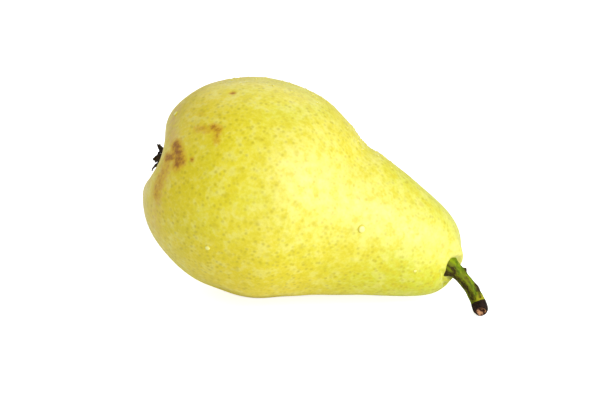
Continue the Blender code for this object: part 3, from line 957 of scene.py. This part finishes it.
def build_stem(foot):
    handles = stem_handles(foot)
    shares = np.linspace(0.0, 1.0, STEM_RINGS)
    centres, headings = along_curve(handles, shares)
    length = np.linalg.norm(np.diff(centres, axis=0), axis=1).sum()
    radii = STEM_RADIUS + STEM_FLARE * np.exp(-shares * length / STEM_FLARE_LENGTH)
    radii += STEM_KNOB * smooth_step(shares, STEM_KNOB_FROM, STEM_KNOB_TO)
    radii *= 1.0 - STEM_END_ROUNDING * smooth_step(shares, STEM_END_FROM, 1.0)
    first, second = ring_axes(headings)
    angles = np.linspace(0.0, math.tau, STEM_SIDES, endpoint=False)
    outward = directions_about(first, second, angles)

    # Coordinates that follow the bark: round it in millimetres, and stretched along it.
    round_it = np.stack((np.cos(angles), np.sin(angles)), axis=-1) * STEM_RADIUS
    bark = np.empty((STEM_RINGS, STEM_SIDES, 3))
    bark[..., :2] = round_it[None]
    bark[..., 2] = (shares * length * BARK_STRETCH)[:, None]

    surface = centres[:, None] + outward * radii[:, None, None]

    def spot(share, side):
        ring = int(round(share * (STEM_RINGS - 1)))
        column = int(round(side / 360.0 * STEM_SIDES)) % STEM_SIDES
        return surface[ring, column]

    relief = STRIATION_DEPTH * noise_at(bark, 0.8) + 0.5 * STRIATION_DEPTH * noise_at(bark, 0.35)
    relief += KNOBBLE_DEPTH * noise_at(surface, 2.2)
    for share, side, radius, height in STEM_BUMPS:
        relief += height * stroke(surface, [spot(share, side)], radius)

    def painted(marks):
        strongest = np.zeros((STEM_RINGS, STEM_SIDES))
        for places, radius, strength in marks:
            path = [spot(share, side) for share, side in places]
            strongest = np.maximum(strongest, strength * stroke(surface, path, radius))
        return strongest

    dark = painted(DARK_MARKS_AND_SHADE)
    fresh = painted(FRESH_MARKS)
    collar_edge = shares[:, None] + COLLAR_WANDER * noise_at(bark, 1.1)
    collar = smooth_step(collar_edge, COLLAR_FROM, COLLAR_TO)
    surface = surface + outward * relief[..., None]

    # The root inside the flesh, and the torn end.
    root_depths = np.array((1.0, 0.5)) * STEM_ROOT
    root = surface[0][None] - headings[0] * root_depths[:, None, None]
    rim = surface[-1] - centres[-1]
    shrink = np.linspace(1.0, 0.0, STEM_FACE_RINGS + 1)[1:-1]
    face = centres[-1] + rim[None] * shrink[:, None, None]
    crater = TORN_RIM_HEIGHT * bell(shrink - TORN_RIM, TORN_RIM_WIDTH)
    crater -= HEART_DEPTH * smooth_step(shrink, HEART_FROM, HEART_TO)
    roughness = noise_at(face, 0.9) * HEART_ROUGHNESS * smooth_step(shrink, 0.90, 0.60)[:, None]
    face = face + headings[-1] * (crater[:, None] + roughness)[..., None]
    grid = np.concatenate((root, surface, face))
    middle = centres[-1] - headings[-1] * END_DEPTH
    points, faces = closed_tube(grid, centres[0] - headings[0] * STEM_ROOT, middle)
    piece = make_piece("pear_stem", points, faces, bark_material(), ["stem"])

    def whole(values, at_face, at_ends):
        """Values of the shaft carried on over the root, the torn face and the two end points."""
        start = np.repeat(values[:1], len(root_depths), axis=0)
        rows = np.concatenate((start, values, at_face))
        return np.concatenate((rows.reshape(-1), at_ends))

    no_face = np.zeros(face.shape[:2])
    no_wood = np.zeros(dark.shape)
    wood_edge = shrink[:, None] + WOOD_WANDER * noise_at(face, 1.0)
    wood = smooth_step(wood_edge, WOOD_FROM, WOOD_TO)
    face_bark = face - centres[-1]
    bark_rows = np.concatenate((np.repeat(bark[:1], len(root_depths), axis=0), bark, face_bark))
    bark_points = np.concatenate((bark_rows.reshape(-1, 3), [bark[0, 0], face_bark[-1, 0]]))
    add_vectors(piece, "bark", bark_points)
    add_values(piece, "dark", whole(dark, no_face, (0.0, 0.0)))
    add_values(piece, "fresh", whole(fresh, no_face, (0.0, 0.0)))
    add_values(piece, "collar", whole(collar, no_face + 1.0, (0.0, 1.0)))
    add_values(piece, "wood", whole(no_wood, wood, (0.0, 1.0)))
    return piece


# ------------------------------------------------------------
# Calyx
# ------------------------------------------------------------

# Each sepal: its side of the eye, its height, how far out its tip curls, and the turn of its blade.
SEPALS = (
    (math.radians(155), 3.9, 5.4, math.radians(10)),
    (math.radians(227), 4.2, 4.4, math.radians(-14)),
    (math.radians(299), 4.6, 3.8, math.radians(8)),
    (math.radians(11), 4.8, 3.4, math.radians(-8)),
    (math.radians(83), 4.4, 3.9, math.radians(12)),
)
SEPAL_FOOT = 2.6
SEPAL_FOOT_RISE = 0.75
SEPAL_WIDTH = 3.3
SEPAL_TIP_WIDTH = 0.70
SEPAL_TAPER = 1.9
SEPAL_CUP = 1.5
SEPAL_THICKNESS = 0.42
SEPAL_ROWS = 36
SEPAL_COLUMNS = 15
CRUMPLE_DEPTH = 0.20
CRUMPLE_SIZE = 1.3
FINE_CRUMPLE_SIZE = 0.6
FINE_CRUMPLE_SHARE = 0.4
# How far apart the sepals and their axes lie in the noise, so that no two are alike.
SEPAL_APART = 10.0
AXIS_APART = 40.0
FILAMENTS = 15
FILAMENT_SEED = 5
FILAMENT_FEET = (0.4, 1.7)
FILAMENT_LEANS = (-0.3, 1.3)
FILAMENT_RISES = (2.4, 3.9)
FILAMENT_START = 0.2
FILAMENT_SWIRL = 0.7
FILAMENT_RADIUS = 0.17
ANTHER_RADIUS = 0.40
FILAMENT_SIDES = 8
FILAMENT_RINGS = 14


def eye_axes(fine):
    """Floor of the basin, and the calyx's three axes in the world, the last one out of the basin."""
    return fine.world[0, 0], LAID_DOWN @ np.diag((1.0, -1.0, -1.0))


def build_sepal(number, eye, side, height, curl, turn, material):
    """A thin dry blade, cupped along its middle, crumpled, and curled out at its pointed tip."""
    floor, axes = eye
    spine, knots = smooth_curve(
        (
            (SEPAL_FOOT, SEPAL_FOOT_RISE),
            (SEPAL_FOOT + 0.15, height * 0.45),
            (SEPAL_FOOT * 0.45 + curl * 0.5, height * 0.85),
            (curl, height),
        )
    )
    share = np.linspace(0.0, 1.0, SEPAL_ROWS)[:, None]
    across = np.linspace(-0.5, 0.5, SEPAL_COLUMNS)[None, :]
    along = spine(share[:, 0] * knots[-1])
    reach = along[:, :1]
    rise = np.repeat(along[:, 1:], SEPAL_COLUMNS, axis=1)
    width = SEPAL_WIDTH + (SEPAL_TIP_WIDTH - SEPAL_WIDTH) * share**SEPAL_TAPER
    cup = SEPAL_CUP * across**2 * width
    sideways = across * width
    angle = side + turn * share
    x = (reach - cup) * np.cos(angle) - sideways * np.sin(angle)
    y = (reach - cup) * np.sin(angle) + sideways * np.cos(angle)
    blade = np.stack((x, -y, rise), axis=-1)
    own_shift = SEPAL_APART * number
    in_noise = np.array((0.0, 0.0, own_shift))
    for axis in range(3):
        wander = noise_at(blade + in_noise + AXIS_APART * axis, CRUMPLE_SIZE)
        wander = wander + FINE_CRUMPLE_SHARE * noise_at(blade + in_noise, FINE_CRUMPLE_SIZE)
        blade[..., axis] += CRUMPLE_DEPTH * wander * smooth_step(share, 0.0, 0.4)
    dry = np.stack((sideways, 0.3 * rise, np.full(rise.shape, own_shift)), axis=-1)
    world = blade @ axes.T + floor

    faces = []
    for row in range(SEPAL_ROWS - 1):
        for column in range(SEPAL_COLUMNS - 1):
            corner = row * SEPAL_COLUMNS + column
            faces.append((corner, corner + 1, corner + SEPAL_COLUMNS + 1, corner + SEPAL_COLUMNS))
    name = f"pear_sepal_{number}"
    nodes = [f"sepal_{number}"]
    piece = make_piece(name, world.reshape(-1, 3), faces, material, nodes)
    add_vectors(piece, "dry", dry)
    thicken = piece.modifiers.new("thickness", "SOLIDIFY")
    thicken.thickness = SEPAL_THICKNESS * MM
    thicken.offset = 0.0
    return piece


def build_stamens(eye, material):
    """Withered filaments that rise from the basin floor and lean apart, each with a shrunken head."""
    floor, axes = eye
    chance = np.random.default_rng(FILAMENT_SEED)
    share = np.linspace(0.0, 1.0, FILAMENT_RINGS)
    angles = np.linspace(0.0, math.tau, FILAMENT_SIDES, endpoint=False)
    radii = FILAMENT_RADIUS * (1.0 - 0.3 * share) + ANTHER_RADIUS * bell(share - 0.93, 0.07)
    filaments = []
    for number in range(FILAMENTS):
        side = math.tau * (number + chance.uniform(-0.3, 0.3)) / FILAMENTS
        foot = chance.uniform(*FILAMENT_FEET)
        lean = chance.uniform(*FILAMENT_LEANS)
        rise = chance.uniform(*FILAMENT_RISES)
        reach = foot + lean * share**2
        swirl = side + chance.uniform(-FILAMENT_SWIRL, FILAMENT_SWIRL) * share
        height = FILAMENT_START + rise * share
        line = np.stack((reach * np.cos(swirl), reach * np.sin(swirl), height), axis=-1)
        heading = np.gradient(line, axis=0)
        heading /= np.linalg.norm(heading, axis=1, keepdims=True)
        first = np.cross(heading, (0.0, 1.0, 0.1))
        first /= np.linalg.norm(first, axis=1, keepdims=True)
        outward = directions_about(first, np.cross(heading, first), angles)
        tube = line[:, None] + outward * radii[:, None, None]
        filaments.append(closed_tube(tube, line[0], line[-1] + heading[-1] * 0.1))
    own, faces = join_bodies(filaments)
    world = own @ axes.T + floor
    piece = make_piece("pear_stamens", world, faces, material, ["stamens"])
    add_vectors(piece, "dry", own)
    return piece


# ------------------------------------------------------------
# Water
# ------------------------------------------------------------

# Drops: height and side of the core in degrees, radius, and height of the drop as a share of it.
DROPS = (
    (66.7, 69, 1.25, 0.50),
    (25.8, 107, 0.85, 0.50),
    (2.3, 26, 0.90, 0.50),
    (86.7, 94, 0.60, 0.30),
)
DROP_BASE_SHARE = 0.9
DROP_SUNK_SHARE = 0.12
BEADS = 260
BEAD_SEED = 11
BEAD_RISE = 0.5
BEAD_HEIGHTS = (10.0, 70.0)
BEAD_SIDES = (-40.0, 6.0)
BEAD_RADII = (0.18, 0.55)
DROP_SIDES = 24
DROP_RINGS = 8


def drop_shape(centre, normal, radius, height):
    """Points and faces of a dome of water that sinks its flat back into the skin."""
    first = unit(np.cross(normal, (0.1, 0.2, 1.0)))
    second = np.cross(normal, first)
    angles = np.linspace(0.0, math.tau, DROP_SIDES, endpoint=False)
    climb = np.linspace(0.0, math.pi / 2, DROP_RINGS, endpoint=False)
    outward = directions_about(first, second, angles)
    rise = np.sin(climb) * height * radius
    grid = centre + outward[None] * (np.cos(climb) * radius)[:, None, None]
    grid = grid + normal * rise[:, None, None]
    sunk = DROP_SUNK_SHARE * radius
    base = centre + outward[None] * radius * DROP_BASE_SHARE - normal * sunk
    grid = np.concatenate((base, grid))
    return closed_tube(grid, centre - normal * sunk, centre + normal * height * radius)


def build_water(fine):
    """A few drops and a mist of small beads along the top of the bulb."""
    chance = np.random.default_rng(BEAD_SEED)
    drops = list(DROPS)
    for _ in range(BEADS):
        height = chance.uniform(*BEAD_HEIGHTS)
        side = chance.uniform(*BEAD_SIDES)
        small, large = BEAD_RADII
        radius = small + (large - small) * chance.random() ** 3
        drops.append((height, side, radius, BEAD_RISE))
    shapes = []
    for height, side, radius, share in drops:
        spot = fine.spot(height, math.radians(side))
        shapes.append(drop_shape(fine.world[spot], fine.normals[spot], radius, share))
    points, faces = join_bodies(shapes)
    # How near to its rim each ring of a drop is, then its two end points.
    one_rim = np.concatenate(([1.0], 1.0 - np.arange(DROP_RINGS) / DROP_RINGS))
    one_rim = np.concatenate((np.repeat(one_rim, DROP_SIDES), (1.0, 0.0)))
    piece = make_piece("water_drops", points, faces, water_material())
    add_vectors(piece, "place", points)
    add_values(piece, "rim", np.tile(one_rim, len(drops)))
    return piece


# ------------------------------------------------------------
# Stage
# ------------------------------------------------------------

CAMERA_AZIMUTH = math.radians(8)
CAMERA_ELEVATION = math.radians(22)
CAMERA_DISTANCE = 0.52
CAMERA_AIM = Vector((-0.0051, -0.0009, 0.0316))
CAMERA_LENS = 100.7
CAMERA_SENSOR = 36.0

FLOOR_REACH = 3.0
FLOOR_DROP = 0.00002

# Soft lights: name, azimuth and elevation in degrees, size in metres and power in watts.
LIGHTS = (
    ("key", 53, 27, 0.95, 7.8),
    ("fill", -98, 22, 1.00, 1.9),
    ("rim", -172, 38, 1.00, 2.2),
)
LIGHT_DISTANCE = 0.9
AMBIENT = 0.36
# The floor's own light, which only the camera sees: it lights nothing.
FLOOR_GLOW = 0.75
WHITE = (1.0, 1.0, 1.0, 1.0)
FLOOR_DULL = (0.93, 0.93, 0.93, 1.0)
FLOOR_PALE = (0.95, 0.95, 0.95, 1.0)
FLOOR_ROUGHNESS = 0.8


def away(azimuth, elevation):
    """Direction from the object to something at this azimuth and elevation; azimuth 0 is along -Y."""
    flat = math.cos(elevation)
    return Vector((math.sin(azimuth) * flat, -math.cos(azimuth) * flat, math.sin(elevation)))


def point_at(obj, location, target):
    obj.location = location
    obj.rotation_euler = (target - location).to_track_quat("-Z", "Y").to_euler()


def build_floor():
    """A plain pale floor, brightened for the camera until it looks white."""
    s = Shading("floor_paint")
    place = s.tree.nodes.new("ShaderNodeTexCoord").outputs["Object"]
    uneven = s.noise(place, 0.02, 3.0)
    color = s.blend(s.ramp(uneven, 0.3, 0.7), FLOOR_DULL, FLOOR_PALE)
    s.shader.inputs["Emission Color"].default_value = WHITE
    seen = s.tree.nodes.new("ShaderNodeLightPath").outputs["Is Camera Ray"]
    s.feed(s.shader.inputs["Emission Strength"], s.math("MULTIPLY", seen, FLOOR_GLOW))
    s.shader.inputs["Specular IOR Level"].default_value = 0.1
    mesh = bpy.data.meshes.new("floor")
    reach = FLOOR_REACH
    corners = [(-reach, -reach, 0.0), (reach, -reach, 0.0), (reach, reach, 0.0), (-reach, reach, 0.0)]
    mesh.from_pydata(corners, [], [(0, 1, 2, 3)])
    mesh.materials.append(s.finish(color, FLOOR_ROUGHNESS))
    floor = bpy.data.objects.new("floor", mesh)
    floor.location.z = -FLOOR_DROP
    bpy.context.scene.collection.objects.link(floor)


def build_world():
    """Even white light from all round, and pure white where the camera looks past the floor."""
    world = bpy.data.worlds.new("studio")
    bpy.context.scene.world = world
    world.use_nodes = True
    tree = world.node_tree
    background = tree.nodes["Background"]
    seen = tree.nodes.new("ShaderNodeLightPath").outputs["Is Camera Ray"]
    level = tree.nodes.new("ShaderNodeMapRange")
    tree.links.new(seen, level.inputs["Value"])
    level.inputs["To Min"].default_value = AMBIENT
    level.inputs["To Max"].default_value = 1.0
    tree.links.new(level.outputs[0], background.inputs["Strength"])
    background.inputs["Color"].default_value = WHITE


def build_lights():
    middle = (CAD_BOX[0] + CAD_BOX[1]) / 2
    for name, azimuth, elevation, size, power in LIGHTS:
        light = bpy.data.lights.new(name, "AREA")
        light.shape = "DISK"
        light.size = size
        light.energy = power
        lamp = bpy.data.objects.new(name, light)
        bpy.context.scene.collection.objects.link(lamp)
        towards = away(math.radians(azimuth), math.radians(elevation))
        point_at(lamp, middle + towards * LIGHT_DISTANCE, middle)


def build_camera():
    data = bpy.data.cameras.new("camera")
    data.lens = CAMERA_LENS
    data.sensor_width = CAMERA_SENSOR
    camera = bpy.data.objects.new("camera", data)
    bpy.context.scene.collection.objects.link(camera)
    place = CAMERA_AIM + away(CAMERA_AZIMUTH, CAMERA_ELEVATION) * CAMERA_DISTANCE
    point_at(camera, place, CAMERA_AIM)
    bpy.context.scene.camera = camera


# ------------------------------------------------------------
# The whole scene
# ------------------------------------------------------------

fine_skin = FineSkin()
foot_of_stem = stem_foot(fine_skin)
fine_skin.add_relief(foot_of_stem, unit(STEM_LEAVES))
build_fruit(fine_skin)
build_stem(foot_of_stem)
dried = calyx_material()
eye = eye_axes(fine_skin)
for number, (side, height, curl, turn) in enumerate(SEPALS, start=1):
    build_sepal(number, eye, side, height, curl, turn, dried)
build_stamens(eye, dried)
build_water(fine_skin)
build_floor()
build_world()
build_lights()
build_camera()
bpy.context.scene.view_settings.view_transform = "Standard"
